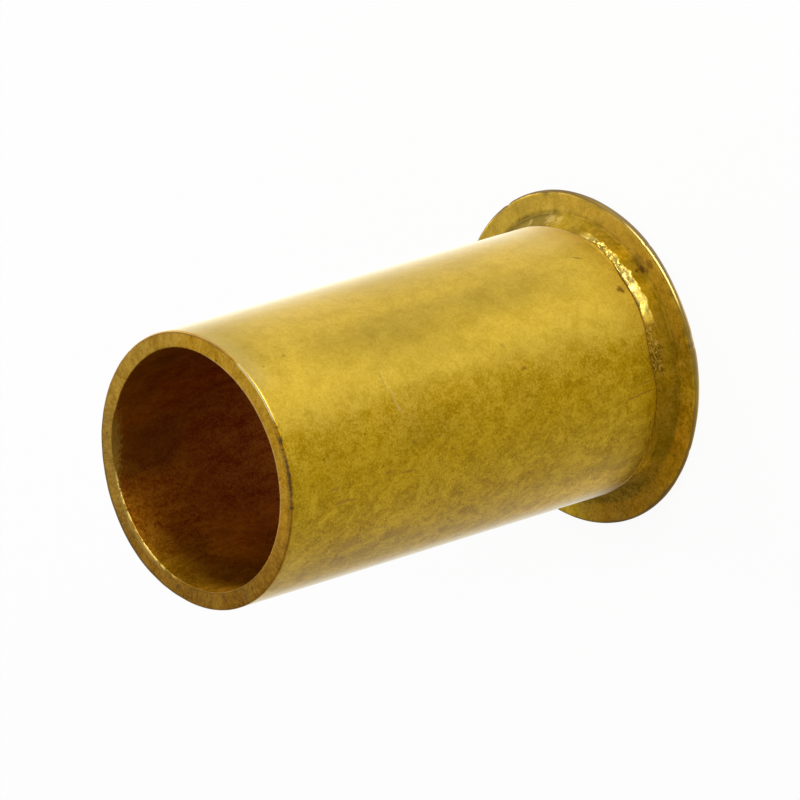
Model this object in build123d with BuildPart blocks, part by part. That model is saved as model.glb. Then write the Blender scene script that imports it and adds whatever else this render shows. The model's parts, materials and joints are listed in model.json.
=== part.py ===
from build123d import *
import math
import os

# Pipe support sleeve: a thin drawn brass tube, cut square at one end and flared to a flat flange at
# the other, made in one piece.
#
# Units are millimetres. The sleeve stands on its flange: +Z runs along the tube towards its cut end,
# and the origin is the centre of the flange's end face.

# ---- Driving dimensions --------------------------------------------------------------------------

pipe_bore = 8.0  # inside diameter of the pipe that the sleeve holds open
pipe_clearance = 0.05  # radial gap between the sleeve and that pipe
wall = 0.5  # wall of the drawn tube
overall_length = 14.9  # end face of the flange to the cut end

flange_lip = 0.9  # how far the flange stands out past the tube, a little less than the pipe's wall
flange_thickness = 0.4  # the wall thins as it is flared
flange_seat_round = 0.04  # edge of the flange on the side where the pipe butts
flange_end_round = 0.34  # rolled-over edge of the flange on its end face

mouth_radius = 0.75  # bell-shaped bend of the bore into the end face
root_radius = 0.3  # inside corner between the flange and the neck
neck_depth = 0.05  # step from the tube down to the neck, where the forming die ended
neck_height = 0.55  # flange's seat to the foot of that step
neck_spread = 0.06  # how far the neck leans outwards on its way down to the flange

cut_edge_round = 0.12  # tumbled outer edge of the cut end
bore_edge_break = 0.04  # deburred inner edge of the cut end
scrape_width = 0.05  # how far the hand scrape eats into the face of the cut end
scrape_depth = 0.4  # how far the hand scrape runs down the bore
scrape_offset = 0.87  # centre of the scraped circle from the sleeve's axis
scrape_bearing = 65.0  # direction of the scrape round the axis, in degrees from +X

# ---- Sizes that follow ---------------------------------------------------------------------------

body_radius = pipe_bore / 2 - pipe_clearance
bore_radius = body_radius - wall
flange_radius = body_radius + flange_lip
neck_radius = body_radius - neck_depth
neck_foot_radius = neck_radius + neck_spread
neck_top = flange_thickness + neck_height
flange_edge_left = flange_thickness - flange_seat_round  # what the seat's round leaves of the edge
end_round = min(flange_end_round, 0.95 * flange_edge_left)
scrape_radius = bore_radius + scrape_width - scrape_offset
scrape_foot_radius = scrape_radius - scrape_width

# ---- The sleeve ----------------------------------------------------------------------------------

with BuildPart() as sleeve:
    # Half section of the tube, neck and flange, with its corners still sharp.
    with BuildSketch(Plane.XZ) as section:
        with BuildLine():
            Polyline(
                (bore_radius, 0),
                (flange_radius, 0),
                (flange_radius, flange_thickness),
                (neck_foot_radius, flange_thickness),
                (neck_radius, neck_top),
                (body_radius, neck_top + neck_depth),
                (body_radius, overall_length),
                (bore_radius, overall_length),
                close=True,
            )
        make_face()
        mouth_corner = section.vertices().sort_by_distance((bore_radius, 0))[0]
        fillet(mouth_corner, mouth_radius)
        end_corner = section.vertices().sort_by_distance((flange_radius, 0))[0]
        fillet(end_corner, end_round)
        seat_corner = section.vertices().sort_by_distance((flange_radius, flange_thickness))[0]
        fillet(seat_corner, flange_seat_round)
        root_corner = section.vertices().sort_by_distance((neck_foot_radius, flange_thickness))[0]
        fillet(root_corner, root_radius)
        cut_corner = section.vertices().sort_by_distance((body_radius, overall_length))[0]
        fillet(cut_corner, cut_edge_round)
        bore_corner = section.vertices().sort_by_distance((bore_radius, overall_length))[0]
        chamfer(bore_corner, bore_edge_break)
    revolve(axis=Axis.Z)

    # The burr left inside the cut end was scraped off by hand, off centre and on one side only.
    scrape_x = scrape_offset * math.cos(math.radians(scrape_bearing))
    scrape_y = scrape_offset * math.sin(math.radians(scrape_bearing))
    with Locations((scrape_x, scrape_y, overall_length)):
        Cone(
            bottom_radius=scrape_foot_radius,
            top_radius=scrape_radius,
            height=scrape_depth,
            align=(Align.CENTER, Align.CENTER, Align.MAX),
            mode=Mode.SUBTRACT,
        )

sleeve.part.label = "sleeve"

os.makedirs("parts", exist_ok=True)
export_step(sleeve.part, "parts/sleeve.step")
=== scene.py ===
import json
import math

import bmesh
import bpy
from bpy.props import FloatProperty, FloatVectorProperty, IntProperty, PointerProperty
from mathutils import Matrix, Vector, noise


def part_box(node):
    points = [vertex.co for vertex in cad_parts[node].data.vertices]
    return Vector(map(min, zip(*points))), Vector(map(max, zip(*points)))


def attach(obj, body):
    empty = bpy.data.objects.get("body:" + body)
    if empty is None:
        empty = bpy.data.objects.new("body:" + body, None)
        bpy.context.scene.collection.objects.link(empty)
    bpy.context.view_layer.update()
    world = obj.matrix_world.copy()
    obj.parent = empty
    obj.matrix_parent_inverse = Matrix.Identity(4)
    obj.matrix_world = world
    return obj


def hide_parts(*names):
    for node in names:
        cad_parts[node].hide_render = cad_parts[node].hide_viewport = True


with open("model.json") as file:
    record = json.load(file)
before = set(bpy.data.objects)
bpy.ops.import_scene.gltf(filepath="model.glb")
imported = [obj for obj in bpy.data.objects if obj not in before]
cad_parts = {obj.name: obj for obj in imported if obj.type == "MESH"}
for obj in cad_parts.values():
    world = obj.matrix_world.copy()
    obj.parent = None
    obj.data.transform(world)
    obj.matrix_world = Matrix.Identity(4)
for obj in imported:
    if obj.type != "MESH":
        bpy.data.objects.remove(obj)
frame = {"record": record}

bl_info = {
    "name": "Pipe support sleeve",
    "version": (1, 0, 0),
    "blender": (4, 5, 0),
    "location": "View3D > Sidebar > Sleeve",
    "description": "Builds the flanged brass sleeve, its drawn and tarnished surfaces and a plain studio",
    "category": "Object",
}

NODE = "sleeve"
MM = 0.001  # one millimetre in scene units
TINY = 1e-7  # points closer than this are one point


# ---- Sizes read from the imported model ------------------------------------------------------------


def mount(name):
    """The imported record's mount of that name."""
    return next(m for m in frame["record"]["mounts"] if m["name"] == name)


LOWEST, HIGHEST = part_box(NODE)
BODY_RADIUS = mount("pipe_seat")["dims"]["r_mm"] * MM
BORE_RADIUS = mount("bore")["dims"]["r_mm"] * MM
FLANGE_RADIUS = HIGHEST.x
FLANGE_THICKNESS = mount("stop_face")["pos_m"][2]
OVERALL_LENGTH = HIGHEST.z - LOWEST.z


# ---- What a user may change ----------------------------------------------------------------------


def length(label, words, default):
    """A length property in metres."""
    return FloatProperty(name=label, description=words, default=default, min=0.0, unit="LENGTH", precision=6)


def angle(label, words, degrees):
    """An angle property, given in degrees and kept in radians."""
    return FloatProperty(name=label, description=words, default=math.radians(degrees), subtype="ANGLE")


def share(label, words, default):
    """A plain number from 0 to 1."""
    return FloatProperty(name=label, description=words, default=default, min=0.0, max=1.0, subtype="FACTOR")


def power(label, words, default):
    """A lamp's power in watts."""
    return FloatProperty(name=label, description=words, default=default, min=0.0, unit="POWER")


def colour(label, words, default):
    """A linear colour."""
    return FloatVectorProperty(
        name=label, description=words, default=default, size=3, min=0.0, max=1.0, subtype="COLOR"
    )


class SleeveSizes(bpy.types.PropertyGroup):
    """The sleeve's section, all round its axis."""

    body_radius: length("Tube radius", "Outside radius of the drawn tube", BODY_RADIUS)
    bore_radius: length("Bore radius", "Inside radius of the drawn tube", BORE_RADIUS)
    flange_radius: length("Flange radius", "Radius of the flange's edge", FLANGE_RADIUS)
    flange_thickness: length("Flange thickness", "End face to the pipe's seat", FLANGE_THICKNESS)
    overall_length: length("Overall length", "End face of the flange to the cut end", OVERALL_LENGTH)
    mouth_radius: length("Mouth radius", "Bend of the bore into the end face", 0.75 * MM)
    end_round: length("End round", "Rolled edge of the flange on its end face", 0.30 * MM)
    seat_round: length("Seat round", "Edge of the flange on the pipe's side", 0.09 * MM)
    root_radius: length("Root radius", "Inside corner between flange and neck", 0.3 * MM)
    neck_depth: length("Neck depth", "Step from the tube down to the neck", 0.05 * MM)
    neck_height: length("Neck height", "Flange's seat to the foot of the step", 0.55 * MM)
    neck_spread: length("Neck spread", "How far the neck leans outwards towards the flange", 0.06 * MM)
    cut_round: length("Cut edge round", "Tumbled outer edge of the cut end", 0.055 * MM)
    bore_break: length("Bore edge break", "Deburred inner edge of the cut end", 0.016 * MM)
    steps_round: IntProperty(
        name="Steps round", description="Faces round the axis", default=580, min=40, step=20
    )


class SleeveWear(bpy.types.PropertyGroup):
    """What forming, cutting and handling left on the sleeve."""

    root_fill: length("Root fill", "How far torn metal fills the corner above the flange", 0.09 * MM)
    lump_height: length("Root lumps", "How far the torn metal of the root stands out", 0.032 * MM)
    lump_size: length("Lump size", "Distance between the root's lumps", 0.24 * MM)
    face_wave: length("Face unevenness", "How uneven the cut face and the flange's seat are", 0.012 * MM)
    scrape_width: length("Scrape width", "How far the hand scrape eats into the cut face", 0.05 * MM)
    scrape_depth: length("Scrape depth", "How far the hand scrape runs down the bore", 0.4 * MM)
    scrape_offset: length("Scrape offset", "Centre of the scraped circle from the axis", 0.87 * MM)
    scrape_bearing: angle("Scrape bearing", "Direction of the scrape round the axis", 65.0)
    burr_height: length("Burr height", "Lip left on the bore's edge by the cut", 0.022 * MM)
    end_draw: length("End draw", "How far the bore is drawn in at the cut end", 0.010 * MM)


class SleeveFinish(bpy.types.PropertyGroup):
    """Colours and gloss of the brass."""

    clean: colour("Clean brass", "Brass where handling keeps it bright", (0.58, 0.39, 0.037))
    drawn: colour("Drawn brass", "Main colour of the tube", (0.42, 0.255, 0.006))
    tarnish: colour("Tarnish", "Olive brown film over the brass", (0.33, 0.185, 0.008))
    haze: colour("Haze", "Dry pale bloom on the tarnished side", (0.45, 0.295, 0.045))
    soot: colour("Dirt", "Dark dirt in pits and corners", (0.12, 0.06, 0.012))
    bore: colour("Bore", "Unpolished red-brown brass of the bore", (0.54, 0.215, 0.014))
    tube_gloss: share("Tube roughness", "Roughness of the drawn surface", 0.44)
    root_gloss: share("Root roughness", "Roughness of the torn metal at the root", 0.30)


class StudioSettings(bpy.types.PropertyGroup):
    """Floor, lamps and camera."""

    floor_colour: colour("Floor", "Colour of the plain floor", (0.92, 0.92, 0.92))
    floor_glow: share("Floor white", "Share of plain white in the floor as it is seen", 0.93)
    world_strength: share("Surround light", "Strength of the even light", 0.5)
    key_power: power("Key lamp", "Large lamp beside the camera", 0.24)
    rim_power: power("Rim lamp", "Low lamp behind the sleeve", 1.3)
    low_power: power("Low lamp", "Small lamp near the floor", 0.60)
    back_power: power("Back lamp", "Soft lamp over the far side", 0.04)
    view_distance: length("Camera distance", "Camera to the point that it aims at", 299.75 * MM)
    view_lens: FloatProperty(name="Lens", description="Focal length in millimetres", default=489.94)
    view_height: angle("Camera height", "Angle of the view above the floor", 40.073)
    view_roll: angle("Camera roll", "Turn of the camera about its view", -106.61)


# ---- Shape helpers -------------------------------------------------------------------------------


def smoothstep(low, high, value):
    """0 below low, 1 above high and an even rise between them."""
    t = min(1.0, max(0.0, (value - low) / (high - low)))
    return t * t * (3.0 - 2.0 * t)


def hump(centre, reach, value):
    """1 at the centre, falling to 0 at that reach to either side."""
    return 1.0 - smoothstep(0.0, reach, abs(value - centre))


def bearing_gap(a, b):
    """How far bearing a is from bearing b, in degrees, from -180 to 180."""
    return (a - b + 180.0) % 360.0 - 180.0


def polar(co):
    """Bearing in degrees from +X, and radius."""
    return math.degrees(math.atan2(co.y, co.x)) % 360.0, math.hypot(co.x, co.y)


def patches(bearing, marks):
    """Sum of the marks (bearing, reach in degrees, height) at a bearing."""
    return sum(height * hump(0.0, reach, bearing_gap(bearing, at)) for at, reach, height in marks)


def push_out(v, share_of_radius):
    """Moves a vertex away from the axis, or towards it if the share is negative."""
    v.co.x += v.co.x * share_of_radius
    v.co.y += v.co.y * share_of_radius


def grain(co, size, octaves):
    """Fixed noise from about -1 to 1, with features of that size."""
    return noise.fractal(co / size, 0.9, 2.1, octaves, noise_basis="PERLIN_ORIGINAL")


# ---- The sleeve's mesh ---------------------------------------------------------------------------


def neck_top(s):
    """Height where the step from the neck out to the tube begins."""
    return s.flange_thickness + s.neck_height


def tube_foot(s):
    """Height where that step ends and the full tube begins."""
    return neck_top(s) + s.neck_depth


def wall_middle(s):
    """Radius of the middle of the tube's wall."""
    return 0.5 * (s.body_radius + s.bore_radius)


def section_corners(s):
    """The half section's sharp corners (radius, height), what rounds each, and in how many steps."""
    neck_radius = s.body_radius - s.neck_depth
    return [
        (s.bore_radius, 0.0, s.mouth_radius, 10),
        (s.flange_radius, 0.0, s.end_round, 8),
        (s.flange_radius, s.flange_thickness, s.seat_round, 4),
        (neck_radius + s.neck_spread, s.flange_thickness, s.root_radius, 12),
        (neck_radius, neck_top(s), 0.0, 0),
        (s.body_radius, tube_foot(s), 0.0, 0),
        (s.body_radius, s.overall_length, s.cut_round, 4),
        (s.bore_radius, s.overall_length, s.bore_break, 2),
    ]


def draw_outline(bm, s):
    """The section as a closed wire in the XZ plane, with its corners rounded."""
    corners = section_corners(s)
    verts = [bm.verts.new((r, 0.0, z)) for r, z, _, _ in corners]
    for k, v in enumerate(verts):
        bm.edges.new((v, verts[(k + 1) % len(verts)]))
    for v, (_, _, rounding, steps) in zip(verts, corners):
        if rounding:
            bmesh.ops.bevel(
                bm, geom=[v], offset=rounding, offset_type="OFFSET", segments=steps,
                profile=0.5, affect="VERTICES", material=-1,
            )


FINE_ROW = 0.04 * MM  # spacing of the section's points where the metal is formed
END_FACE_ROW = 0.12 * MM  # the same on the end face, which is plain
TUBE_ROW = 1.0 * MM  # the same along the plain tube
OUTSIDE_END_ROW = 0.1 * MM  # rows round the outside near the cut end
BORE_END_ROW = 0.05 * MM  # rows round the bore near the cut end


def cut_rows(bm, s):
    """Closer rows just above the step, and on both sides of the wall near the cut end."""
    outside = [tube_foot(s) + FINE_ROW * k for k in range(1, 10)]
    outside += [s.overall_length - OUTSIDE_END_ROW * k for k in range(1, 6)]
    inside = [s.overall_length - BORE_END_ROW * k for k in range(1, 11)]
    for heights, sign in ((outside, 1.0), (inside, -1.0)):
        for height in heights:
            verts = [v for v in bm.verts if sign * (v.co.x - wall_middle(s)) > 0.0]
            edges = [e for e in bm.edges if e.verts[0] in verts and e.verts[1] in verts]
            bmesh.ops.bisect_plane(
                bm, geom=verts + edges, dist=TINY, plane_co=(0, 0, height), plane_no=(0, 0, 1)
            )


def row_spacing(edge, s):
    """How far apart an edge's points may be."""
    a, b = (v.co for v in edge.verts)
    if max(a.z, b.z) < 0.1 * MM:
        return END_FACE_ROW
    if abs(a.x - b.x) > abs(a.z - b.z) or a.z < tube_foot(s):
        return FINE_ROW
    return TUBE_ROW


FOOT_SMOOTHINGS = 30  # how often the neck's foot is smoothed into the flange


def draw_section(bm, s):
    """The section with its points close enough for the wear, and the neck's foot run into the flange."""
    draw_outline(bm, s)
    cut_rows(bm, s)
    for edge in bm.edges[:]:
        cuts = int(edge.calc_length() / row_spacing(edge, s))
        if cuts > 0:
            bmesh.ops.subdivide_edges(bm, edges=[edge], cuts=cuts)
    foot_end = s.flange_radius - 0.2 * MM
    foot = [
        v for v in bm.verts
        if v.co.x < foot_end and -TINY < v.co.z - s.flange_thickness < s.root_radius
    ]
    for _ in range(FOOT_SMOOTHINGS):
        bmesh.ops.smooth_vert(bm, verts=foot, factor=0.5, use_axis_x=True, use_axis_z=True)


ARCS = 20  # one arc of the section is spun finely, then that many copies of it close the ring


def spin_section(s):
    """The plain sleeve: its section spun about +Z and closed."""
    bm = bmesh.new()
    draw_section(bm, s)
    about_z = {
        "cent": (0, 0, 0), "axis": (0, 0, 1), "dvec": (0, 0, 0), "use_normal_flip": False, "use_merge": False,
    }
    arc = math.tau / ARCS
    section = bm.verts[:] + bm.edges[:]
    steps = s.steps_round // ARCS
    bmesh.ops.spin(bm, geom=section, angle=arc, steps=steps, use_duplicate=False, **about_z)
    first_arc = bm.verts[:] + bm.edges[:] + bm.faces[:]
    rest = math.tau - arc
    bmesh.ops.spin(bm, geom=first_arc, angle=rest, steps=ARCS - 1, use_duplicate=True, **about_z)
    bmesh.ops.remove_doubles(bm, verts=bm.verts[:], dist=TINY)
    bmesh.ops.recalc_face_normals(bm, faces=bm.faces[:])
    return bm


# Where the die's mark rises or falls: bearing, reach, millimetres
STEP_WAVES = (
    (315.0, 22.0, -0.14), (262.0, 22.0, 0.13), (236.0, 14.0, 0.03), (345.0, 16.0, 0.05),
    (205.0, 18.0, -0.06), (170.0, 20.0, 0.06), (120.0, 26.0, -0.05), (80.0, 20.0, 0.05), (30.0, 24.0, -0.04),
)
WAVE_REACH = 0.36 * MM  # how far up the tube the step's wave dies away


def wave_neck(bm, s):
    """The step at the top of the neck isn't level: it follows the uneven edge of the forming die."""
    low = s.flange_thickness + 0.5 * s.neck_height
    top = tube_foot(s)
    for v in bm.verts:
        bearing, radius = polar(v.co)
        if radius < s.body_radius - 2 * s.neck_depth or v.co.z > top + WAVE_REACH:
            continue
        weight = smoothstep(low, top - s.neck_depth, v.co.z)
        weight *= 1.0 - smoothstep(top, top + WAVE_REACH, v.co.z)
        small = 0.02 * grain(Vector((v.co.x, v.co.y, 0.0)), 0.5 * MM, 2)
        v.co.z += weight * (patches(bearing, STEP_WAVES) + small) * MM


# Where metal torn up by the die fills the corner, so that the neck leans out: bearing, reach, share
ROOT_LEAN = (
    (283.0, 22.0, 1.0), (302.0, 22.0, 0.9), (321.0, 22.0, 0.9), (345.0, 24.0, 0.7), (120.0, 60.0, 0.4),
)
# Where the torn metal is lumpy: bearing, reach, share
ROOT_SWELL = (
    (318.0, 20.0, 0.9), (300.0, 18.0, 0.8), (284.0, 14.0, 0.9), (266.0, 12.0, 0.35), (345.0, 22.0, 0.3),
)
# Where the lumps are broken up: bearing, reach, share
ROOT_BREAKS = ((312.0, 16.0, 1.0),)
ROOT_REACH = 0.34 * MM  # how far out on the flange the torn metal reaches


def tear_root(bm, s, w):
    """Metal torn up by the forming die: it fills the corner between flange and neck, and is lumpy."""
    bm.normal_update()
    reach = s.body_radius + ROOT_REACH
    moves = []
    for v in bm.verts:
        bearing, radius = polar(v.co)
        if radius < s.body_radius - 2 * s.neck_depth or radius > reach:
            continue
        if v.co.z > tube_foot(s) + 0.25 * MM or v.co.z < s.flange_thickness - 0.01 * MM:
            continue
        down = (neck_top(s) - v.co.z) / s.neck_height
        fade = 1.0 - smoothstep(s.body_radius + 0.04 * MM, reach, radius)
        lean = min(1.0, patches(bearing, ROOT_LEAN)) * w.root_fill * smoothstep(0.0, 0.55, down) * fade
        ring = fade * smoothstep(-0.02, 0.12, down)
        soft = grain(v.co, w.lump_size, 1)
        fine = grain(v.co + Vector((0, 0, 3 * MM)), 0.4 * w.lump_size, 2)
        swell = 0.12 + min(1.0, patches(bearing, ROOT_SWELL))
        broken = patches(bearing, ROOT_BREAKS)
        lumps = 0.2 + (0.8 - 0.3 * broken) * soft + (0.25 + 0.8 * broken) * fine
        lift = w.lump_height * ring * swell * lumps
        outwards = Vector((v.co.x, v.co.y, 0.0)).normalized()
        moves.append((v, outwards * lean + v.normal * lift))
    for v, move in moves:
        v.co += move


def scrape_bore_edge(bm, s, w):
    """The crescent where the burr was scraped off inside the cut end: a cone cut, off centre."""
    centre = Vector((math.cos(w.scrape_bearing), math.sin(w.scrape_bearing), 0.0)) * w.scrape_offset
    rim = s.bore_radius + w.scrape_width - w.scrape_offset
    for v in bm.verts:
        _, radius = polar(v.co)
        depth = s.overall_length - v.co.z
        if depth > w.scrape_depth * 1.02 or radius > s.body_radius - 0.25 * MM:
            continue
        cone = rim - w.scrape_width * depth / w.scrape_depth
        flat = Vector((v.co.x, v.co.y, 0.0))
        out = flat - centre
        if 0.0 < out.length < cone:
            moved = centre + out * (cone / out.length)
            v.co.x, v.co.y = moved.x, moved.y


# Where the cut left a lip on the bore's edge: bearing, reach, share
BURR_MARKS = (
    (109.0, 9.0, 1.0), (116.0, 5.0, 0.5), (86.0, 3.0, 1.0), (91.5, 1.2, 0.9), (97.5, 1.5, 1.0),
    (124.0, 3.0, 0.6), (129.0, 3.0, 0.5), (134.5, 2.5, 0.6), (141.0, 3.0, 0.4), (150.0, 8.0, 0.2),
)
FACE_DEPTH = 0.3 * MM  # how far down the unevenness of the cut face is felt


def raise_burr(bm, s, w):
    """A thin bright lip on part of the bore's edge; the rest of the cut face lies a little lower."""
    for v in bm.verts:
        bearing, radius = polar(v.co)
        depth = s.overall_length - v.co.z
        if depth > FACE_DEPTH:
            continue
        drop = w.burr_height + 0.6 * w.face_wave * (1.0 + grain(v.co, 0.6 * MM, 3))
        drop *= 1.0 - smoothstep(0.0, FACE_DEPTH, depth)
        lip = hump(s.bore_radius, 0.07 * MM, radius) * min(1.0, patches(bearing, BURR_MARKS))
        bead = 0.75 + 0.5 * grain(v.co, 0.12 * MM, 1)
        v.co.z -= drop * (1.0 - lip * min(1.0, bead))
        if radius < s.bore_radius + 0.06 * MM:
            push_out(v, -0.6 * w.burr_height * lip * bead / radius)


# How far the cut end's outside and its bore's edge are out of round: bearing, reach, millimetres
END_SWELL = ((108.0, 42.0, 0.06), (70.0, 30.0, 0.02), (350.0, 30.0, 0.008), (150.0, 24.0, -0.004))
END_BORE = ((352.0, 44.0, 0.055), (48.0, 44.0, 0.032), (284.0, 62.0, -0.024))
END_REACH = 1.6 * MM  # how far down the tube the end is out of round


def push_end(bm, s, w):
    """Sawing and scraping left the bore off centre at the cut end and the outside a little swollen."""
    for v in bm.verts:
        bearing, radius = polar(v.co)
        near = smoothstep(s.overall_length - END_REACH, s.overall_length, v.co.z)
        if near <= 0.0:
            continue
        inner = 1.0 - smoothstep(s.bore_radius + 0.05 * MM, s.body_radius - 0.10 * MM, radius)
        push = inner * (patches(bearing, END_BORE) - w.end_draw / MM)
        push += (1.0 - inner) * patches(bearing, END_SWELL)
        push_out(v, near * push * MM / radius)


# Where the flange's edge is worn away towards its end face, and its nicks: bearing, reach, millimetres
EDGE_WEAR = ((232.0, 56.0, 0.105), (280.0, 26.0, 0.10), (330.0, 22.0, 0.02))
EDGE_NICKS = (
    (265.0, 3.5, 0.03), (262.0, 1.0, 0.03), (301.0, 1.2, 0.02), (224.0, 1.5, 0.02), (12.0, 2.0, 0.03),
    (97.0, 1.6, 0.03),
)
# Where the round of its edge beside the seat is squared off: bearing, reach, share
EDGE_SQUARE = ((232.0, 50.0, 0.5),)
EDGE_BAND = 0.35 * MM  # width of the flange's outer band, where it wears


def knock_flange(bm, s, w):
    """The flange's edge is a little out of round and nicked, and its seat is slightly uneven."""
    for v in bm.verts:
        bearing, radius = polar(v.co)
        if v.co.z > s.flange_thickness + 0.02 * MM or radius < s.body_radius + 0.2 * MM:
            continue
        outer = smoothstep(s.flange_radius - EDGE_BAND, s.flange_radius, radius)
        low = 1.0 - smoothstep(0.25 * s.flange_thickness, 0.9 * s.flange_thickness, v.co.z)
        wobble = 0.5 + 0.5 * grain(Vector((v.co.x, v.co.y, 0.0)), 2.6 * MM, 2)
        pull = 0.007 * wobble + patches(bearing, EDGE_NICKS) + low * patches(bearing, EDGE_WEAR)
        if v.co.z > 0.7 * s.flange_thickness and radius < s.flange_radius:
            round_start = s.flange_radius - 0.4 * EDGE_BAND
            squared = patches(bearing, EDGE_SQUARE) * smoothstep(round_start, s.flange_radius, radius)
            pull -= squared * (s.flange_radius - radius) / MM
        push_out(v, -pull * outer * MM / radius)
        if v.co.z > 0.5 * s.flange_thickness:
            v.co.z -= w.face_wave * (1.0 + grain(v.co, 0.7 * MM, 2))


TUBE, FORMED, CUT, BORE = range(4)  # the material of each finish


def surface_of(place, s):
    """Which finish a face of the plain sleeve has, from where it lies."""
    _, radius = polar(place)
    from_end = s.overall_length - place.z
    if from_end < s.bore_break or (from_end < s.cut_round and radius > wall_middle(s)):
        return CUT
    if radius < s.bore_radius + 0.01 * MM:
        return BORE
    if place.z > neck_top(s) + 0.3 * s.neck_depth:
        return TUBE
    return FORMED


def build_mesh(s, w):
    """The finished sleeve mesh, with a material index for each surface."""
    bm = spin_section(s)
    for face in bm.faces:
        face.smooth = True
        face.material_index = surface_of(face.calc_center_median(), s)
    wave_neck(bm, s)
    tear_root(bm, s, w)
    scrape_bore_edge(bm, s, w)
    raise_burr(bm, s, w)
    push_end(bm, s, w)
    knock_flange(bm, s, w)
    bm.normal_update()
    mesh = bpy.data.meshes.new("sleeve_metal")
    bm.to_mesh(mesh)
    bm.free()
    return mesh


# ---- Materials -----------------------------------------------------------------------------------

# The same sizes in millimetres, as the materials read them
BODY_MM = BODY_RADIUS / MM
BORE_MM = BORE_RADIUS / MM
FLANGE_MM = FLANGE_RADIUS / MM
SEAT_MM = FLANGE_THICKNESS / MM
WHITE = (1.0, 1.0, 1.0)


class Nodes:
    """Adds nodes to a tree and joins them: a socket given as a value is linked, anything else is set."""

    def __init__(self, tree):
        self.tree = tree

    def add(self, kind, settings=None, **inputs):
        """A new node with these settings and inputs."""
        node = self.tree.nodes.new(kind)
        for name, value in (settings or {}).items():
            setattr(node, name, value)
        for name, value in inputs.items():
            self.put(node, name.replace("_", " "), value)
        return node

    def put(self, node, key, value):
        """Links or sets one input of a node."""
        socket = node.inputs[key]
        if isinstance(value, bpy.types.NodeSocket):
            self.tree.links.new(value, socket)
        else:
            socket.default_value = value

    def maths(self, operation, *values):
        """A maths node's result."""
        node = self.add("ShaderNodeMath", {"operation": operation})
        for k, value in enumerate(values):
            self.put(node, k, value)
        return node.outputs[0]

    def chain(self, operation, first, *others):
        """A maths operation on two or more values, in their order."""
        for other in others:
            first = self.maths(operation, first, other)
        return first

    def plus(self, *values):
        """The sum of the values."""
        return self.chain("ADD", *values)

    def minus(self, *values):
        """The first value less the others."""
        return self.chain("SUBTRACT", *values)

    def times(self, *values):
        """The product of the values."""
        return self.chain("MULTIPLY", *values)

    def most(self, *values):
        """The greatest of the values."""
        return self.chain("MAXIMUM", *values)

    def vector(self, operation, *values):
        """A vector maths node's result."""
        node = self.add("ShaderNodeVectorMath", {"operation": operation})
        for k, value in enumerate(values):
            self.put(node, k, value)
        return node.outputs[1 if operation in ("LENGTH", "DISTANCE", "DOT_PRODUCT") else 0]

    def scale(self, vector, factor):
        """A vector or a colour times a number."""
        scaled = self.vector("SCALE", vector)
        self.put(scaled.node, "Scale", factor)
        return scaled

    def ease(self, value, low, high, first=0.0, last=1.0):
        """first below low, last above high, and a smooth change between them."""
        node = self.add("ShaderNodeMapRange", {"interpolation_type": "SMOOTHSTEP"}, Value=value)
        for key, number in (("From Min", low), ("From Max", high), ("To Min", first), ("To Max", last)):
            self.put(node, key, number)
        return node.outputs[0]

    def between(self, mask, first, last):
        """first where the mask is 0, last where it is 1, and a smooth change between them."""
        return self.ease(mask, 0.0, 1.0, first, last)

    def noise(self, place, scale, detail=2.0, roughness=0.5, distortion=0.0):
        """Noise from 0 to 1, its scale in features per millimetre."""
        node = self.add("ShaderNodeTexNoise", Vector=place, Scale=scale, Detail=detail)
        self.put(node, "Roughness", roughness)
        self.put(node, "Distortion", distortion)
        return node.outputs[0]

    def mix(self, factor, a, b):
        """a where the factor is 0 and b where it is 1."""
        node = self.add("ShaderNodeMix", {"data_type": "RGBA"})
        self.put(node, 0, factor)
        self.put(node, 6, a if isinstance(a, bpy.types.NodeSocket) else (*a, 1.0))
        self.put(node, 7, b if isinstance(b, bpy.types.NodeSocket) else (*b, 1.0))
        return node.outputs[2]

    def lay(self, colour, shade, *masks):
        """A colour with a shade laid over it, as far as the masks' product says."""
        return self.mix(self.times(*masks), colour, shade)

    def tint(self, colour, shade, mask):
        """A colour multiplied by a shade where the mask is 1."""
        return self.vector("MULTIPLY", colour, self.mix(mask, WHITE, shade))

    def group(self, tree, **inputs):
        """A placed node group; its outputs are read by name."""
        return self.add("ShaderNodeGroup", {"node_tree": tree}, **inputs).outputs


KINDS = {"value": "NodeSocketFloat", "vector": "NodeSocketVector", "colour": "NodeSocketColor"}


def new_group(name, inputs, outputs):
    """A node group with named sockets, the nodes in it, what it is given and the node that it ends in."""
    tree = bpy.data.node_groups.new(name, "ShaderNodeTree")
    for side, sockets in (("INPUT", inputs), ("OUTPUT", outputs)):
        for label, kind in sockets.items():
            tree.interface.new_socket(label, in_out=side, socket_type=KINDS[kind])
    nodes = Nodes(tree)
    given = nodes.add("NodeGroupInput").outputs
    result = nodes.add("NodeGroupOutput")
    return tree, nodes, given, result


def place_group():
    """Where a point lies on the sleeve: millimetres, radius, height and bearing in degrees."""
    tree, n, given, result = new_group(
        "sleeve_place", {"Object": "vector"},
        {"Place": "vector", "Radius": "value", "Height": "value", "Bearing": "value"},
    )
    place = n.scale(given["Object"], 1.0 / MM)
    parts = n.add("ShaderNodeSeparateXYZ", Vector=place).outputs
    turn = n.times(n.maths("ARCTAN2", parts[1], parts[0]), math.degrees(1.0))
    n.put(result, "Place", place)
    n.put(result, "Radius", n.vector("LENGTH", n.vector("MULTIPLY", place, (1.0, 1.0, 0.0))))
    n.put(result, "Height", parts[2])
    n.put(result, "Bearing", n.maths("FLOORED_MODULO", turn, 360.0))
    return tree


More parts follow.
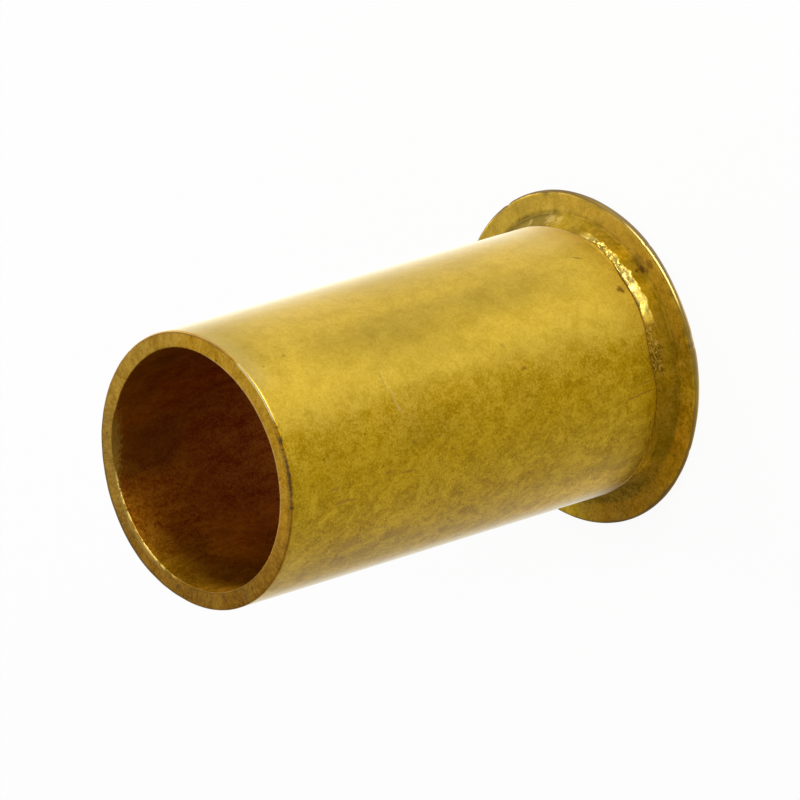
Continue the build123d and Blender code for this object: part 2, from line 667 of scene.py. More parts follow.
def side_group():
    """1 towards one bearing, falling to 0 at Reach degrees to either side."""
    tree, n, given, result = new_group(
        "sleeve_side",
        {"Bearing": "value", "Towards": "value", "Full": "value", "Reach": "value"},
        {"Mask": "value"},
    )
    turned = n.plus(n.minus(given["Bearing"], given["Towards"]), 180.0)
    gap = n.maths("ABSOLUTE", n.minus(n.maths("FLOORED_MODULO", turned, 360.0), 180.0))
    n.put(result, "Mask", n.ease(gap, given["Full"], given["Reach"], 1.0, 0.0))
    return tree


def mark_group():
    """One ragged mark on the surface, by its bearing and its height or radius."""
    tree, n, given, result = new_group(
        "sleeve_mark",
        {
            "Bearing": "value", "Along": "value", "Ragged": "value", "At bearing": "value", "At": "value",
            "Half turn": "value", "Half length": "value", "Slant": "value",
        },
        {"Mask": "value"},
    )
    along = n.minus(given["Along"], given["At"])
    across = n.minus(given["Bearing"], given["At bearing"], n.times(along, given["Slant"]))
    a = n.maths("DIVIDE", across, given["Half turn"])
    b = n.maths("DIVIDE", along, given["Half length"])
    far = n.maths("SQRT", n.plus(n.times(a, a), n.times(b, b)))
    n.put(result, "Mask", n.ease(n.plus(far, given["Ragged"]), 0.4, 1.15, 1.0, 0.0))
    return tree


def patina_group():
    """Brass mottled with tarnish and specked with dirt: a colour, a roughness and a height in millimetres."""
    tree, n, given, result = new_group(
        "brass_patina",
        {
            "Place": "vector", "Stretch": "vector", "Clean": "colour", "Metal": "colour",
            "Tarnish": "colour", "Dirt": "colour", "Haze": "colour", "Cleaned": "value",
            "Tarnished": "value", "Contrast": "value", "Specks": "value", "Roughness": "value",
        },
        {"Colour": "colour", "Roughness": "value", "Height": "value"},
    )
    place = given["Place"]
    drawn = n.vector("MULTIPLY", place, given["Stretch"])
    clouds = n.noise(drawn, 0.8, 3.0, 0.6, 0.4)
    mottle = n.noise(drawn, 2.4, 5.0, 0.84, 0.5)
    grain = n.noise(place, 14.0, 3.0, 0.8)

    # Bright metal in large clouds, and a film of tarnish that follows the mottle
    clean = n.plus(given["Cleaned"], n.times(n.minus(clouds, 0.5), 0.8))
    colour = n.mix(n.ease(clean, 0.1, 0.9), given["Metal"], given["Clean"])
    film = n.plus(n.times(mottle, 0.55), n.times(clouds, 0.45))
    edge = n.minus(0.70, n.times(given["Tarnished"], 0.34))
    film = n.times(n.ease(film, edge, n.plus(edge, 0.30)), 0.65)
    colour = n.mix(film, colour, given["Tarnish"])

    # A dry bloom, and the salt and pepper of the metal's grain
    haze = n.ease(n.noise(place, 1.1, 2.0, 0.6, 0.3), 0.34, 0.66)
    colour = n.lay(colour, given["Haze"], haze, given["Contrast"], 0.22)
    salt = n.plus(n.times(mottle, 0.55), n.times(grain, 0.45))
    salt = n.times(n.ease(salt, 0.36, 0.64, -1.0, 1.0), given["Contrast"])
    colour = n.vector("ADD", colour, n.scale((0.130, 0.096, 0.022), salt))
    colour = n.vector("MAXIMUM", colour, (0.02, 0.01, 0.002))

    # Dirt in specks and in fine curls
    curl = n.maths("ABSOLUTE", n.minus(n.noise(drawn, 5.5, 1.0, 0.5, 1.2), 0.5))
    curl = n.times(n.ease(curl, 0.0, 0.022, 1.0, 0.0), n.ease(mottle, 0.42, 0.30))
    rim = n.minus(0.80, n.times(given["Specks"], 0.14))
    speck = n.ease(n.noise(place, 6.5, 3.0, 0.65, 0.3), rim, n.plus(rim, 0.05))
    dirt = n.most(n.times(speck, 0.75), n.times(curl, n.times(given["Specks"], 0.4)))
    colour = n.mix(dirt, colour, given["Dirt"])

    rough = n.plus(given["Roughness"], n.times(film, 0.08), n.times(n.minus(grain, 0.5), 0.2))
    n.put(result, "Colour", colour)
    n.put(result, "Roughness", n.plus(rough, n.times(dirt, 0.25)))
    n.put(result, "Height", n.minus(n.times(grain, 0.003), n.times(dirt, 0.003)))
    return tree


class BrassNodes(Nodes):
    """The nodes of one brass surface: they know where a point lies on the sleeve."""

    def __init__(self, tree, groups, finish):
        super().__init__(tree)
        self.groups = groups
        self.finish = finish
        self.where = self.group(groups["place"], Object=self.add("ShaderNodeTexCoord").outputs["Object"])
        self.place = self.where["Place"]

    def by_radius(self, low, high, first=0.0, last=1.0):
        """first inside the low radius and last outside the high one, in millimetres."""
        return self.ease(self.where["Radius"], low, high, first, last)

    def by_height(self, low, high, first=0.0, last=1.0):
        """first below the low height and last above the high one, in millimetres."""
        return self.ease(self.where["Height"], low, high, first, last)

    def side(self, towards, full, reach):
        """1 within full degrees of a bearing, falling to 0 at reach degrees from it."""
        given = {"Bearing": self.where["Bearing"], "Towards": towards, "Full": full, "Reach": reach}
        return self.group(self.groups["side"], **given)["Mask"]

    def patina(self, place, **inputs):
        """The patina's colour, roughness and height, with the finish's colours where none are given."""
        finish = self.finish
        own = {
            "Clean": finish.clean, "Metal": finish.drawn, "Tarnish": finish.tarnish,
            "Dirt": finish.soot, "Haze": finish.haze,
        }
        given = {**own, **inputs}
        for name in own:
            if not isinstance(given[name], bpy.types.NodeSocket):
                given[name] = (*given[name], 1.0)
        return self.group(self.groups["patina"], Place=place, **given)

    def marks(self, colour, along, marks, shade):
        """Lays the marks over a colour; also gives the mask of them all."""
        total = 0.0
        ragged = self.times(self.minus(self.noise(self.place, 9.0, 3.0, 0.7), 0.5), 2.4)
        for bearing, at, turn, reach, slant, amount in marks:
            mask = self.group(
                self.groups["mark"], Bearing=self.where["Bearing"], Along=self.where[along], Ragged=ragged,
                At_bearing=bearing, At=at, Half_turn=turn, Half_length=reach, Slant=slant,
            )["Mask"]
            colour = self.lay(colour, shade, mask, amount)
            total = self.most(mask, total)
        return colour, total

    def brighten(self, colour, amount, *masks):
        """A colour made brighter by a share where the masks are 1, or darker if it is negative."""
        return self.scale(colour, self.plus(1.0, self.times(*masks, amount)))

    def soft_patches(self, colour, patches_here):
        """A colour made brighter or darker in large soft ragged patches."""
        ragged = self.times(self.minus(self.noise(self.place, 0.7, 3.0, 0.6), 0.5), 1.2)
        for bearing, full, reach, height, deep, deepest, share_left in patches_here:
            gap = self.maths("ABSOLUTE", self.minus(self.where["Height"], height))
            along = self.ease(gap, deep, deepest, 1.0, 0.0)
            facing = self.side(bearing, full, reach)
            colour = self.brighten(colour, share_left - 1.0, along, facing, self.plus(1.0, ragged))
        return colour


# Painted pale reflection that a brass takes where it is seen edge on
EDGE_SHEEN = (1.0, 0.97, 0.80)


def brass(groups, finish, surface):
    """A brass material. Its surface gives a colour, a roughness, a height and where painted edge-on sheen
    starts.
    """
    material = bpy.data.materials.new(surface.__name__)
    material.use_nodes = True
    n = BrassNodes(material.node_tree, groups, finish)
    colour, roughness, height, sheen_start = surface(n)
    # Painted reflection: the colour pales towards white where the surface is seen edge on
    if sheen_start:
        edge_on = n.ease(n.add("ShaderNodeLayerWeight", Blend=0.5).outputs["Facing"], sheen_start, 1.0)
        colour = n.lay(colour, EDGE_SHEEN, n.maths("POWER", edge_on, 1.3), 0.75)
    shader = material.node_tree.nodes["Principled BSDF"]
    n.put(shader, "Metallic", 1.0)
    n.put(shader, "Base Color", colour)
    n.put(shader, "Roughness", roughness)
    n.put(shader, "Normal", n.add("ShaderNodeBump", Strength=1.0, Distance=MM, Height=height).outputs[0])
    return material


# Marks: bearing, height or radius in mm, half turn in degrees, half length in mm, slant, share
TUBE_STAINS = (
    (247.0, 11.30, 0.7, 0.28, 0.6, 0.6), (245.0, 10.55, 0.6, 0.30, 0.4, 0.6),
    (240.3, 12.9, 0.9, 0.50, 0.5, 0.55), (246.8, 13.3, 0.8, 0.20, 0.0, 0.5),
    (247.5, 1.7, 0.5, 0.75, -1.5, 0.7), (252.0, 1.5, 0.4, 0.55, -1.2, 0.5),
    (292.0, 1.26, 1.8, 0.14, 0.0, 1.0), (312.6, 1.82, 0.5, 0.14, 9.0, 1.0),
    (255.6, 9.32, 0.8, 0.06, 0.0, 0.75), (245.4, 9.38, 0.8, 0.05, 0.0, 0.6),
    (256.2, 10.25, 0.7, 0.06, 0.0, 0.65), (249.0, 8.9, 0.8, 0.06, 0.0, 0.5),
    (306.5, 13.3, 0.6, 0.05, 0.0, 0.6), (304.0, 14.2, 0.6, 0.06, 0.0, 0.5),
    (309.5, 14.0, 0.5, 0.04, 0.0, 0.5), (218.0, 12.4, 4.0, 0.50, 0.0, 0.55),
    (216.0, 10.6, 3.0, 0.70, 0.0, 0.5), (272.0, 5.8, 1.0, 0.14, 0.0, 0.6),
    (283.3, 6.2, 1.2, 0.12, 0.0, 0.35),
)
TUBE_SCRATCHES = (
    (284.0, 10.69, 5.5, 0.055, 0.0, 0.16), (275.5, 10.61, 5.5, 0.055, 0.0, 0.20),
    (271.0, 10.53, 1.4, 0.07, 0.0, 0.26),
)
RIM_STAINS = (
    (255.0, 3.89, 13.0, 0.065, 0.003, 0.85), (272.0, 3.90, 1.8, 0.12, 0.0, 1.0),
    (268.5, 3.87, 0.8, 0.06, 0.0, 0.9), (244.0, 3.90, 1.0, 0.07, 0.0, 1.0),
    (277.5, 3.92, 0.7, 0.04, 0.0, 0.8), (279.5, 3.92, 0.5, 0.03, 0.0, 0.8),
    (230.0, 3.91, 14.0, 0.030, 0.0, 0.5), (189.0, 3.70, 2.0, 0.16, 0.0, 0.35),
    (165.0, 3.60, 1.2, 0.16, 0.0, 0.35), (143.0, 3.67, 1.2, 0.10, 0.0, 0.7),
    (194.5, 3.66, 1.0, 0.09, 0.0, 0.7), (173.0, 3.58, 1.0, 0.12, 0.0, 0.5),
)
BORE_SCRAPES = ((65.0, 14.93, 19.0, 0.46, 0.0, 0.95),)
FLANGE_STAINS = (
    (296.5, 4.24, 2.2, 0.13, 0.0, 1.0), (299.0, 4.34, 4.0, 0.20, 0.0, 0.45),
    (294.0, 4.36, 1.2, 0.08, 0.0, 0.7), (295.0, 4.58, 2.2, 0.14, 0.0, 0.7),
    (263.0, 4.79, 1.0, 0.05, 0.0, 0.6),
)
FLANGE_GLINTS = (
    (0.4, 4.06, 1.8, 0.13, 0.0, 0.20), (347.5, 4.06, 3.2, 0.13, 0.0, 0.28),
    (342.5, 4.06, 1.8, 0.12, 0.0, 0.22),
)
# The tube's patches are partly painted highlight and shade in bands along the bearing, partly patchy tone;
# the last lightens the step's shade line with painted light
# Soft patches: bearing, full and reach in degrees, height, full and reach in mm, share of brightness left
TUBE_SHEEN_AND_TONE = (
    (305.0, 3.0, 13.0, 7.6, 2.5, 6.0, 0.80), (274.0, 4.0, 14.0, 8.0, 6.0, 9.0, 0.96),
    (292.0, 2.0, 10.0, 9.0, 1.0, 3.5, 0.90), (333.0, 4.0, 14.0, 10.8, 0.6, 2.6, 1.12),
    (333.0, 5.0, 16.0, 2.6, 0.8, 3.0, 1.14), (204.0, 4.0, 14.0, 3.4, 0.8, 3.0, 1.26),
    (260.0, 3.0, 12.0, 9.6, 0.3, 1.8, 0.88), (208.0, 3.0, 12.0, 11.8, 0.8, 2.8, 0.90),
    (322.0, 14.0, 34.0, 14.6, 0.4, 1.6, 0.86), (244.0, 8.0, 20.0, 14.9, 0.2, 1.0, 0.92),
    (232.0, 20.0, 42.0, 8.0, 7.0, 9.0, 0.87), (300.0, 3.0, 12.0, 10.6, 1.0, 3.0, 0.90),
    (228.0, 32.0, 46.0, 0.975, 0.02, 0.05, 2.1),
)
# Painted light and shade on the bore's wall: lighter on the side where light falls in
BORE_LIGHT_AND_SHADE = (
    (73.0, 7.0, 17.0, 13.7, 0.8, 1.8, 0.70), (32.0, 12.0, 28.0, 11.8, 1.0, 2.0, 1.4),
    (148.0, 12.0, 28.0, 13.2, 1.2, 2.4, 1.35), (130.0, 10.0, 24.0, 11.4, 1.0, 2.2, 1.35),
)


def drawn_brass(n):
    """The drawn tube: cleaner and brighter towards bearing 325, partly painted light, with tarnish drawn out
    along the axis on the other side, partly painted shade.
    """
    # Cleaner metal towards bearing 325 and more tarnish on the other side: partly real tarnish, partly
    # painted light and shade
    tarnished_shaded_side = n.minus(1.0, n.side(325.0, 31.0, 68.0))
    under = n.side(214.0, 14.0, 30.0)
    out = n.patina(
        n.place, Stretch=(1.0, 1.0, 0.8), Cleaned=n.between(tarnished_shaded_side, 0.85, 0.12),
        Tarnished=n.plus(n.between(tarnished_shaded_side, 0.1, 0.55), n.by_height(1.1, 1.7, 0.05, 0.0)),
        Contrast=n.plus(n.between(tarnished_shaded_side, 0.54, 1.0), n.times(under, 0.16)),
        Specks=n.between(tarnished_shaded_side, 0.1, 0.85), Roughness=n.finish.tube_gloss,
    )
    # Painted highlight and shade in bands along the bearing, with patchy tone
    colour = n.soft_patches(out["Colour"], TUBE_SHEEN_AND_TONE)
    colour = n.tint(colour, (1.0, 1.0, 0.45), n.side(232.0, 18.0, 44.0))
    # A painted pale sheen towards bearing 330, strongest near both ends
    pale_sheen = n.most(
        n.times(n.side(332.0, 4.0, 16.0), n.by_height(1.2, 4.6, 1.0, 0.0)),
        n.times(n.side(324.0, 22.0, 34.0), n.by_height(13.9, 14.8)),
        n.times(n.side(334.0, 2.0, 14.0), 0.45),
    )
    colour = n.lay(colour, (0.52, 0.40, 0.15), pale_sheen, 0.36)
    colour, _ = n.marks(colour, "Height", TUBE_STAINS, (0.22, 0.115, 0.012))
    colour, scratched = n.marks(colour, "Height", TUBE_SCRATCHES, (0.60, 0.46, 0.2))
    height = n.minus(out["Height"], n.times(scratched, 0.004))
    return colour, out["Roughness"], height, n.between(tarnished_shaded_side, 0.60, 0.70)


def formed_brass(n):
    """The flared flange and neck: ochre, bright where the root is torn, partly a painted highlight, and olive
    with painted shade in its shaded part.
    """
    upper = n.side(350.0, 30.0, 110.0)
    # Darker, browner tarnish towards bearing 184
    darker_side = n.side(184.0, 8.0, 42.0)

    # The root where the neck meets the flange, the corner outside it, tarnished and with painted shade, and
    # the flat seat beyond
    ragged = n.plus(n.where["Height"], n.times(n.noise(n.place, 5.0, 2.0), 0.26))
    root = n.times(n.by_radius(BODY_MM + 0.10, BODY_MM + 0.16, 1.0, 0.0), n.ease(ragged, 0.77, 0.86))
    torn = n.times(root, n.side(301.0, 20.0, 28.0))
    grainy = n.times(root, n.side(264.0, 8.0, 14.0))
    wander = n.times(n.noise(n.place, 2.5, 3.0), 0.2)
    corner = n.ease(n.plus(n.where["Radius"], wander), BODY_MM + 0.31, BODY_MM + 0.51, 1.0, 0.0)
    corner = n.times(corner, n.minus(1.0, torn))
    seat = n.minus(1.0, corner)

    # The flange's edge: rubbed clean beside the seat, with a painted highlight line there, and painted shade
    # round its rolled side
    rim = n.by_radius(FLANGE_MM - 0.19, FLANGE_MM - 0.15)
    rim = n.times(rim, n.by_height(SEAT_MM - 0.08, SEAT_MM - 0.06))
    rim = n.times(rim, n.by_height(SEAT_MM - 0.038, SEAT_MM - 0.026, 1.0, 0.0))
    rubbed_glint = n.times(rim, n.side(294.0, 12.0, 20.0))
    rolled = n.by_height(SEAT_MM - 0.026, SEAT_MM - 0.012, 1.0, 0.0)
    rolled = n.times(n.by_radius(FLANGE_MM - 0.17, FLANGE_MM - 0.13), rolled)
    # The flange's outer side: a band with a painted pale sheen, and painted shade towards bearing 312
    outside = n.by_radius(FLANGE_MM - 0.35, FLANGE_MM - 0.30)
    band = n.times(outside, n.by_height(0.14, 0.30, 1.0, 0.0))
    side_shade = n.times(outside, n.by_height(0.28, 0.33, 1.0, 0.0), n.side(312.0, 20.0, 36.0))

    # Torn and rubbed metal is cleaner and glossier; its paler clean colour is partly a painted highlight
    bright = n.most(torn, rubbed_glint)
    tarnished = n.plus(n.between(upper, 0.5, 0.35), n.times(corner, 0.3), n.times(darker_side, 0.6))
    dull_gloss = n.finish.tube_gloss + 0.14
    out = n.patina(
        n.place, Stretch=(1.0, 1.0, 1.0), Metal=(0.56, 0.37, 0.016),
        Tarnish=n.mix(darker_side, (0.33, 0.20, 0.010), (0.20, 0.10, 0.010)),
        Clean=n.mix(bright, n.finish.clean, (0.58, 0.42, 0.075)), Cleaned=n.plus(bright, 0.2),
        Tarnished=n.minus(tarnished, n.times(bright, 0.6)),
        Contrast=n.minus(n.plus(n.between(upper, 1.4, 1.0), grainy), n.times(bright, 0.3)),
        Specks=n.minus(0.7, n.times(bright, 0.6)),
        Roughness=n.minus(dull_gloss, n.times(bright, dull_gloss - n.finish.root_gloss)),
    )
    colour, _ = n.marks(out["Colour"], "Radius", FLANGE_STAINS, (0.20, 0.10, 0.012))
    # Painted shade in the corner and over part of the torn root, and painted light and shade on the root and
    # seat, bearing by bearing
    for mask, towards, full, reach, amount in (
        (corner, 4.0, 14.0, 30.0, -0.70), (corner, 324.0, 10.0, 24.0, -0.46),
        (corner, 298.0, 3.0, 10.0, -0.50), (corner, 272.0, 14.0, 26.0, -0.42),
        (corner, 232.0, 14.0, 26.0, -0.42), (root, 262.0, 12.0, 22.0, -0.14),
        (corner, 202.0, 8.0, 18.0, -0.12), (torn, 292.0, 9.0, 16.0, -0.73),
        (seat, 172.0, 8.0, 22.0, -0.14), (seat, 266.0, 20.0, 36.0, 0.10),
        (seat, 238.0, 8.0, 18.0, 0.22), (seat, 208.0, 8.0, 18.0, -0.12),
        (root, 213.0, 8.0, 16.0, 0.28), (root, 326.0, 4.0, 10.0, -0.25),
        (root, 306.0, 2.0, 8.0, 0.35),
    ):
        colour = n.brighten(colour, amount, mask, n.side(towards, full, reach))
    colour = n.tint(colour, (1.03, 0.86, 0.55), n.times(seat, n.side(200.0, 26.0, 48.0)))
    colour, _ = n.marks(colour, "Radius", FLANGE_GLINTS, (0.66, 0.50, 0.20))
    ochre = n.mix(n.times(corner, n.side(262.0, 50.0, 80.0)), (1.0, 1.0, 0.8), (1.04, 0.93, 0.55))
    colour = n.vector("MULTIPLY", colour, ochre)

    pits = n.ease(n.noise(n.place, 6.0, 2.0, 0.6), 0.50, 0.62)
    colour = n.lay(colour, (0.30, 0.20, 0.02), pits, torn, 0.7)
    veins = n.maths("ABSOLUTE", n.minus(n.noise(n.place, 4.5, 2.0), 0.5))
    colour = n.lay(colour, (0.62, 0.46, 0.12), n.ease(veins, 0.0, 0.035, 1.0, 0.0), grainy, 0.55)
    colour = n.lay(colour, (0.62, 0.47, 0.22), upper, seat, 0.14)
    # Painted shade round the rolled edge, darkest towards bearing 358; painted pale sheen on the side band,
    # painted shade on the side towards bearing 312 and a painted highlight line on the rubbed edge
    colour = n.lay(colour, (0.19, 0.125, 0.04), rolled, n.minus(1.0, rubbed_glint), 0.8)
    colour = n.lay(colour, (0.06, 0.035, 0.012), rolled, n.side(358.0, 16.0, 40.0), 0.7)
    colour = n.lay(colour, (0.50, 0.38, 0.22), band, 0.6)
    colour = n.lay(colour, (0.20, 0.15, 0.09), side_shade, 0.65)
    colour = n.lay(colour, (0.80, 0.62, 0.24), rubbed_glint, 0.45)
    rough = n.plus(out["Roughness"], n.plus(n.times(corner, 0.20), n.times(rolled, 0.15)))
    height = n.times(out["Height"], n.plus(1.0, n.times(grainy, 3.5)))
    return colour, rough, height, 0.0


def cut_brass(n):
    """The sawn and tumbled end: dull ochre with brown blotches and faint streaks across its width."""
    golden = n.side(288.0, 40.0, 85.0)
    brown = n.side(152.0, 50.0, 95.0)
    flat = n.vector("MULTIPLY", n.place, (0.6, 0.6, 1.0))
    outwards = n.vector("NORMALIZE", n.vector("MULTIPLY", n.place, (1.0, 1.0, 0.0)))
    outer = n.by_radius(BODY_MM - 0.08, BODY_MM - 0.04)
    inner = n.by_radius(BORE_MM + 0.05, BORE_MM + 0.02)
    # The outer edge rubbed clean and glossy towards bearing 295, where a painted highlight line lies
    rubbed_glint = n.times(outer, n.by_radius(BODY_MM - 0.015, BODY_MM - 0.005, 1.0, 0.0))
    rubbed_glint = n.times(rubbed_glint, n.side(295.0, 11.0, 17.0))
    out = n.patina(
        n.vector("ADD", flat, n.scale(outwards, 1.5)), Stretch=(1.0, 1.0, 1.0),
        Metal=n.mix(golden, (0.49, 0.28, 0.030), (0.56, 0.30, 0.010)),
        Tarnish=n.mix(brown, (0.33, 0.17, 0.020), (0.17, 0.075, 0.008)),
        Cleaned=n.plus(0.1, rubbed_glint),
        Tarnished=n.plus(n.between(brown, 0.45, 1.0), n.times(rubbed_glint, -0.6)),
        Contrast=n.plus(1.1, n.times(brown, 0.3)), Specks=1.0,
        Roughness=n.minus(n.finish.tube_gloss + 0.06, n.times(rubbed_glint, 0.25)),
    )

    # Duller and browner on the far side, along the outer border and at one place of the bore's edge
    colour = n.tint(out["Colour"], (0.76, 0.63, 0.30), n.side(165.0, 42.0, 100.0))
    border = n.times(n.by_radius(BODY_MM - 0.23, BODY_MM - 0.15), n.side(256.0, 16.0, 34.0))
    colour = n.tint(colour, (0.70, 0.68, 0.62), border)
    shoulder = n.times(n.by_radius(BORE_MM + 0.21, BORE_MM + 0.09), n.side(112.0, 8.0, 28.0))
    colour = n.lay(colour, (0.66, 0.44, 0.11), shoulder, 0.35)
    colour = n.tint(colour, (0.80, 0.78, 0.85), n.side(68.0, 10.0, 24.0))
    colour, _ = n.marks(colour, "Radius", RIM_STAINS, (0.12, 0.07, 0.02))

    # The outer edge: painted shade on its top side, a painted highlight where it is rubbed; the bore's edge:
    # pale, beaded with painted highlights, or dull
    light_and_shade_mask = n.times(outer, n.side(50.0, 85.0, 120.0))
    colour = n.lay(colour, (0.19, 0.11, 0.035), light_and_shade_mask, 0.7)
    pale = n.times(inner, n.side(285.0, 45.0, 75.0), n.noise(n.place, 5.0, 2.0))
    colour = n.lay(colour, (0.70, 0.50, 0.26), pale, 0.55)
    colour = n.lay(colour, (1.0, 0.85, 0.42), rubbed_glint, 0.85)
    lip = n.times(n.by_radius(BORE_MM + 0.06, BORE_MM + 0.035), n.side(110.0, 20.0, 36.0))
    # Painted highlights on the beads of the burr's lip
    bead_glints = n.mix(n.ease(n.noise(n.place, 3.5, 2.0), 0.44, 0.52), (0.36, 0.24, 0.035), (0.98, 0.76, 0.22))
    colour = n.lay(colour, bead_glints, lip, 0.85)
    dull = n.times(inner, n.side(176.0, 18.0, 40.0))
    colour = n.lay(colour, (0.20, 0.12, 0.02), dull, 0.6)
    rough = n.plus(out["Roughness"], n.times(light_and_shade_mask, 0.15), n.times(dull, 0.3))
    return colour, rough, out["Height"], 0.0


def bore_brass(n):
    """The bore: unpolished and red-brown, with drawing lines along the axis and one edge scraped pale."""
    # Cleaner, lighter metal towards bearing 156 is painted light falling into the bore
    light_and_shade_mask = n.side(156.0, 26.0, 62.0)
    coarse = n.times(n.side(128.0, 36.0, 58.0), n.by_height(11.6, 13.4))
    out = n.patina(
        n.place, Stretch=(1.0, 1.0, 0.4), Clean=(0.56, 0.33, 0.02),
        # Darker deeper in the bore: painted shade
        Metal=n.mix(n.by_height(10.5, 14.4, 1.0, 0.0), n.finish.bore, (0.335, 0.107, 0.012)),
        Tarnish=(0.37, 0.122, 0.010), Haze=(0.33, 0.11, 0.010), Cleaned=n.times(light_and_shade_mask, 0.5), Tarnished=0.5,
        Contrast=n.between(coarse, 0.85, 1.35), Specks=n.between(coarse, 0.3, 0.8),
        Roughness=n.finish.tube_gloss,
    )
    # Painted light and shade on the bore's wall, in soft patches
    colour = n.vector("MULTIPLY", n.soft_patches(out["Colour"], BORE_LIGHT_AND_SHADE), (1.0, 1.0, 0.5))
    colour, _ = n.marks(colour, "Height", BORE_SCRAPES, (0.60, 0.42, 0.07))
    return colour, out["Roughness"], out["Height"], 0.0


SURFACES = (drawn_brass, formed_brass, cut_brass, bore_brass)  # in the order of TUBE, FORMED, CUT and BORE


# ---- Operators -----------------------------------------------------------------------------------


class OBJECT_OT_sleeve(bpy.types.Operator):
    """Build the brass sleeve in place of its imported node"""

    bl_idname = "object.support_sleeve"
    bl_label = "Build sleeve"

    def execute(self, context):
        scene = context.scene
        mesh = build_mesh(scene.sleeve_sizes, scene.sleeve_wear)
        groups = {
            "place": place_group(), "side": side_group(), "mark": mark_group(), "patina": patina_group(),
        }
        for surface in SURFACES:
            mesh.materials.append(brass(groups, scene.sleeve_finish, surface))
        piece = bpy.data.objects.new("sleeve_metal", mesh)
        scene.collection.objects.link(piece)
        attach(piece, "root")
        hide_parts(NODE)
        return {"FINISHED"}


LAMP_DISTANCE = 0.3  # each lamp from the foot of the sleeve's axis
# The lamps: name, bearing and angle above the floor in degrees, width and height
LAMPS = (
    ("key", 292.0, 22.0, 0.14, 0.14),
    ("rim", 38.0, 8.0, 0.30, 0.08),
    ("low", 310.0, 8.0, 0.06, 0.05),
    ("back", 85.0, 52.0, 0.16, 0.16),
)


def hang_lamp(scene, name, bearing, rise, size, watts):
    """An area lamp that points at the middle of the sleeve."""
    turn = math.radians(bearing)
    up = math.radians(rise)
    flat = math.cos(up)
    place = Vector((math.cos(turn) * flat, math.sin(turn) * flat, math.sin(up))) * LAMP_DISTANCE
    aim = Vector((0.0, 0.0, 0.5 * OVERALL_LENGTH)) - place
    light = bpy.data.lights.new(name, "AREA")
    light.shape = "RECTANGLE"
    light.size, light.size_y = size
    light.energy = watts
    lamp = bpy.data.objects.new(name, light)
    lamp.matrix_world = Matrix.Translation(place) @ aim.to_track_quat("-Z", "Y").to_matrix().to_4x4()
    scene.collection.objects.link(lamp)


def floor_material(studio):
    """White paper that keeps the shadow, with a share of plain white for the camera and for reflections."""
    material = bpy.data.materials.new("floor_paper")
    material.use_nodes = True
    n = Nodes(material.node_tree)
    shader = material.node_tree.nodes["Principled BSDF"]
    n.put(shader, "Base Color", (*studio.floor_colour, 1.0))
    n.put(shader, "Roughness", 0.9)
    n.put(shader, "Specular IOR Level", 0.2)
    path = n.add("ShaderNodeLightPath").outputs
    seen = n.most(path["Is Camera Ray"], path["Is Glossy Ray"], path["Is Transmission Ray"])
    white = n.add("ShaderNodeEmission", Strength=1.0)
    both = n.add("ShaderNodeMixShader", Fac=n.times(seen, studio.floor_glow))
    n.put(both, 1, shader.outputs[0])
    n.put(both, 2, white.outputs[0])
    n.put(material.node_tree.nodes["Material Output"], "Surface", both.outputs[0])
    return material


def lay_floor(scene, studio):
    """A plain round floor at the sleeve's foot."""
    bm = bmesh.new()
    bmesh.ops.create_circle(bm, cap_ends=True, segments=96, radius=2.0)
    mesh = bpy.data.meshes.new("floor")
    bm.to_mesh(mesh)
    bm.free()
    floor = bpy.data.objects.new("floor", mesh)
    scene.collection.objects.link(floor)
    mesh.materials.append(floor_material(studio))


def light_surround(scene, strength):
    """Even white light from all round."""
    scene.world = scene.world or bpy.data.worlds.new("World")
    scene.world.use_nodes = True
    background = scene.world.node_tree.nodes["Background"]
    background.inputs["Color"].default_value = (*WHITE, 1.0)
    background.inputs["Strength"].default_value = strength


VIEW_AIM = Vector((0.272, -3.842, 10.333)) * MM  # the point that the camera looks at


def place_camera(scene, studio):
    """A distant camera with a long lens, looking down at the sleeve and turned about its view."""
    camera = bpy.data.objects.new("camera", bpy.data.cameras.new("camera"))
    scene.collection.objects.link(camera)
    camera.data.lens = studio.view_lens
    camera.data.sensor_width = 36.0
    camera.data.clip_start = 0.01
    camera.data.clip_end = 10.0
    tilt = Matrix.Rotation(math.pi / 2 - studio.view_height, 4, "X")
    roll = Matrix.Rotation(studio.view_roll, 4, "Z")
    back = tilt.to_3x3() @ Vector((0.0, 0.0, 1.0))
    camera.matrix_world = Matrix.Translation(VIEW_AIM + back * studio.view_distance) @ tilt @ roll
    scene.camera = camera


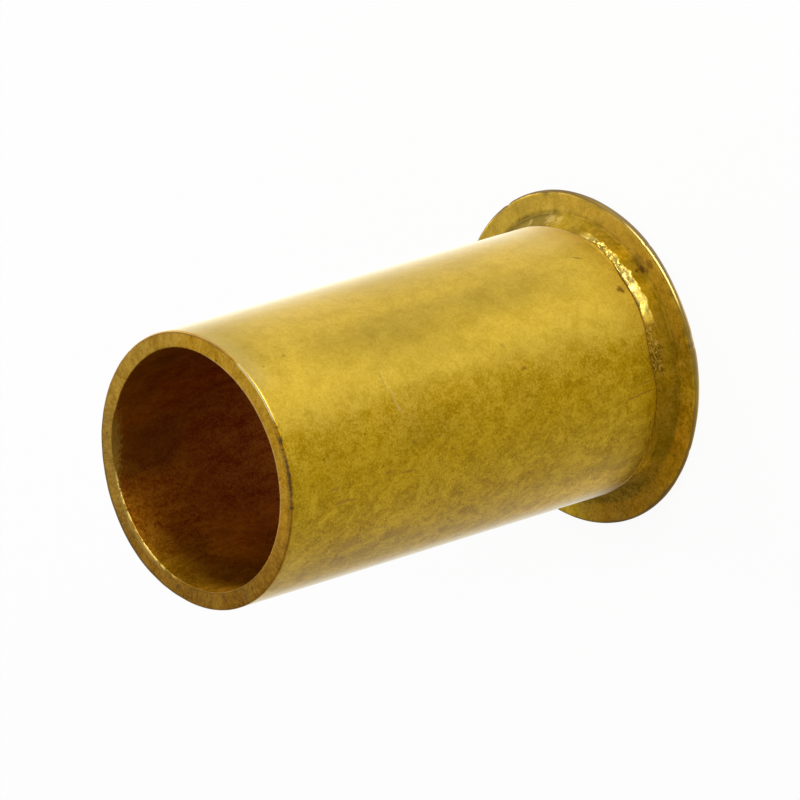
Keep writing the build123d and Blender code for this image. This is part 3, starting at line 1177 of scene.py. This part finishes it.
class SCENE_OT_studio(bpy.types.Operator):
    """Lay the floor, hang the lamps and place the camera"""

    bl_idname = "scene.sleeve_studio"
    bl_label = "Build studio"

    def execute(self, context):
        scene = context.scene
        studio = scene.sleeve_studio
        lay_floor(scene, studio)
        light_surround(scene, studio.world_strength)
        for name, bearing, rise, width, height in LAMPS:
            watts = getattr(studio, name + "_power")
            hang_lamp(scene, name + "_lamp", bearing, rise, (width, height), watts)
        place_camera(scene, studio)
        scene.view_settings.view_transform = "Standard"
        return {"FINISHED"}


class VIEW3D_PT_sleeve(bpy.types.Panel):
    """Builds the sleeve and its studio"""

    bl_idname = "VIEW3D_PT_sleeve"
    bl_label = "Pipe support sleeve"
    bl_space_type = "VIEW_3D"
    bl_region_type = "UI"
    bl_category = "Sleeve"

    def draw(self, context):
        layout = self.layout
        scene = context.scene
        groups = (scene.sleeve_sizes, scene.sleeve_wear, scene.sleeve_finish, scene.sleeve_studio)
        for group in groups:
            box = layout.box()
            for name in group.__annotations__:
                box.prop(group, name)
        layout.operator(OBJECT_OT_sleeve.bl_idname)
        layout.operator(SCENE_OT_studio.bl_idname)


GROUPS = {
    "sleeve_sizes": SleeveSizes,
    "sleeve_wear": SleeveWear,
    "sleeve_finish": SleeveFinish,
    "sleeve_studio": StudioSettings,
}
CLASSES = (OBJECT_OT_sleeve, SCENE_OT_studio, VIEW3D_PT_sleeve)


def register():
    """Adds the add-on's classes and its properties on the scene."""
    for name, group in GROUPS.items():
        bpy.utils.register_class(group)
        setattr(bpy.types.Scene, name, PointerProperty(type=group))
    for cls in CLASSES:
        bpy.utils.register_class(cls)


def unregister():
    """Takes them away again."""
    for cls in reversed(CLASSES):
        bpy.utils.unregister_class(cls)
    for name, group in reversed(GROUPS.items()):
        delattr(bpy.types.Scene, name)
        bpy.utils.unregister_class(group)


def corners(box):
    """A box as plain lists of numbers."""
    return [list(corner) for corner in box]


def main():
    """Builds the sleeve and its studio."""
    register()
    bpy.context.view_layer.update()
    bpy.ops.object.support_sleeve()
    bpy.ops.scene.sleeve_studio()


if __name__ == "__main__":
    main()
